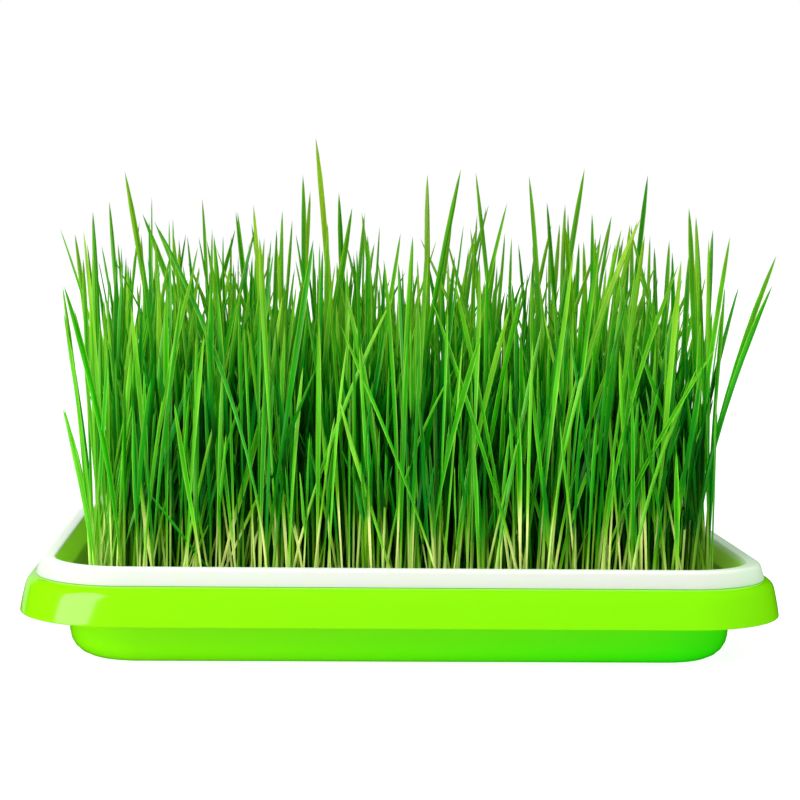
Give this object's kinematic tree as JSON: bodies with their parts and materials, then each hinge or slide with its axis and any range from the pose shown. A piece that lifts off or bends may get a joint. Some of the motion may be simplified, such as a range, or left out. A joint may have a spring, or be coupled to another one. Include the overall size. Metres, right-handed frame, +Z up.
{
  "type": "wheatgrass tray",
  "caption": "Soilless sprouting tray full of wheatgrass: a skirted green water tray, a white mesh basket hung in it, a mat of seeds and roots, and a dense sward of upright shoots.",
  "frame": {"origin": "middle of the tray's flat bottom, on the surface that it stands on", "axes": "+X along the tray's length, +Y across it towards the back, +Z up along the shoots"},
  "size_m": [0.34, 0.25, 0.233],
  "materials": {
    "green_plastic": "gloss",
    "white_plastic": "satin",
    "water": "polished",
    "seed_and_root": "matte",
    "wheatgrass": "satin"
  },
  "bodies": {
    "root": {"water_tray": "green_plastic", "mesh_basket": "white_plastic", "water": "water", "seed_mat": "seed_and_root", "shoots_row_01_left": "wheatgrass", "shoots_row_01_middle": "wheatgrass", "shoots_row_01_right": "wheatgrass", "shoots_row_02_left": "wheatgrass", "shoots_row_02_middle": "wheatgrass", "shoots_row_02_right": "wheatgrass", "shoots_row_03_left": "wheatgrass", "shoots_row_03_middle": "wheatgrass", "shoots_row_03_right": "wheatgrass", "shoots_row_04_left": "wheatgrass", "shoots_row_04_middle": "wheatgrass", "shoots_row_04_right": "wheatgrass", "shoots_row_05_left": "wheatgrass", "shoots_row_05_middle": "wheatgrass", "shoots_row_05_right": "wheatgrass", "shoots_row_06_left": "wheatgrass", "shoots_row_06_middle": "wheatgrass", "shoots_row_06_right": "wheatgrass", "shoots_row_07_left": "wheatgrass", "shoots_row_07_middle": "wheatgrass", "shoots_row_07_right": "wheatgrass", "shoots_row_08_left": "wheatgrass", "shoots_row_08_middle": "wheatgrass", "shoots_row_08_right": "wheatgrass", "shoots_row_09_left": "wheatgrass", "shoots_row_09_middle": "wheatgrass", "shoots_row_09_right": "wheatgrass", "shoots_row_10_left": "wheatgrass", "shoots_row_10_middle": "wheatgrass", "shoots_row_10_right": "wheatgrass", "shoots_row_11_left": "wheatgrass", "shoots_row_11_middle": "wheatgrass", "shoots_row_11_right": "wheatgrass", "shoots_row_12_left": "wheatgrass", "shoots_row_12_middle": "wheatgrass", "shoots_row_12_right": "wheatgrass", "shoots_row_13_left": "wheatgrass", "shoots_row_13_middle": "wheatgrass", "shoots_row_13_right": "wheatgrass", "shoots_row_14_left": "wheatgrass", "shoots_row_14_middle": "wheatgrass", "shoots_row_14_right": "wheatgrass", "shoots_row_15_left": "wheatgrass", "shoots_row_15_middle": "wheatgrass", "shoots_row_15_right": "wheatgrass"}
  },
  "joints": []
}
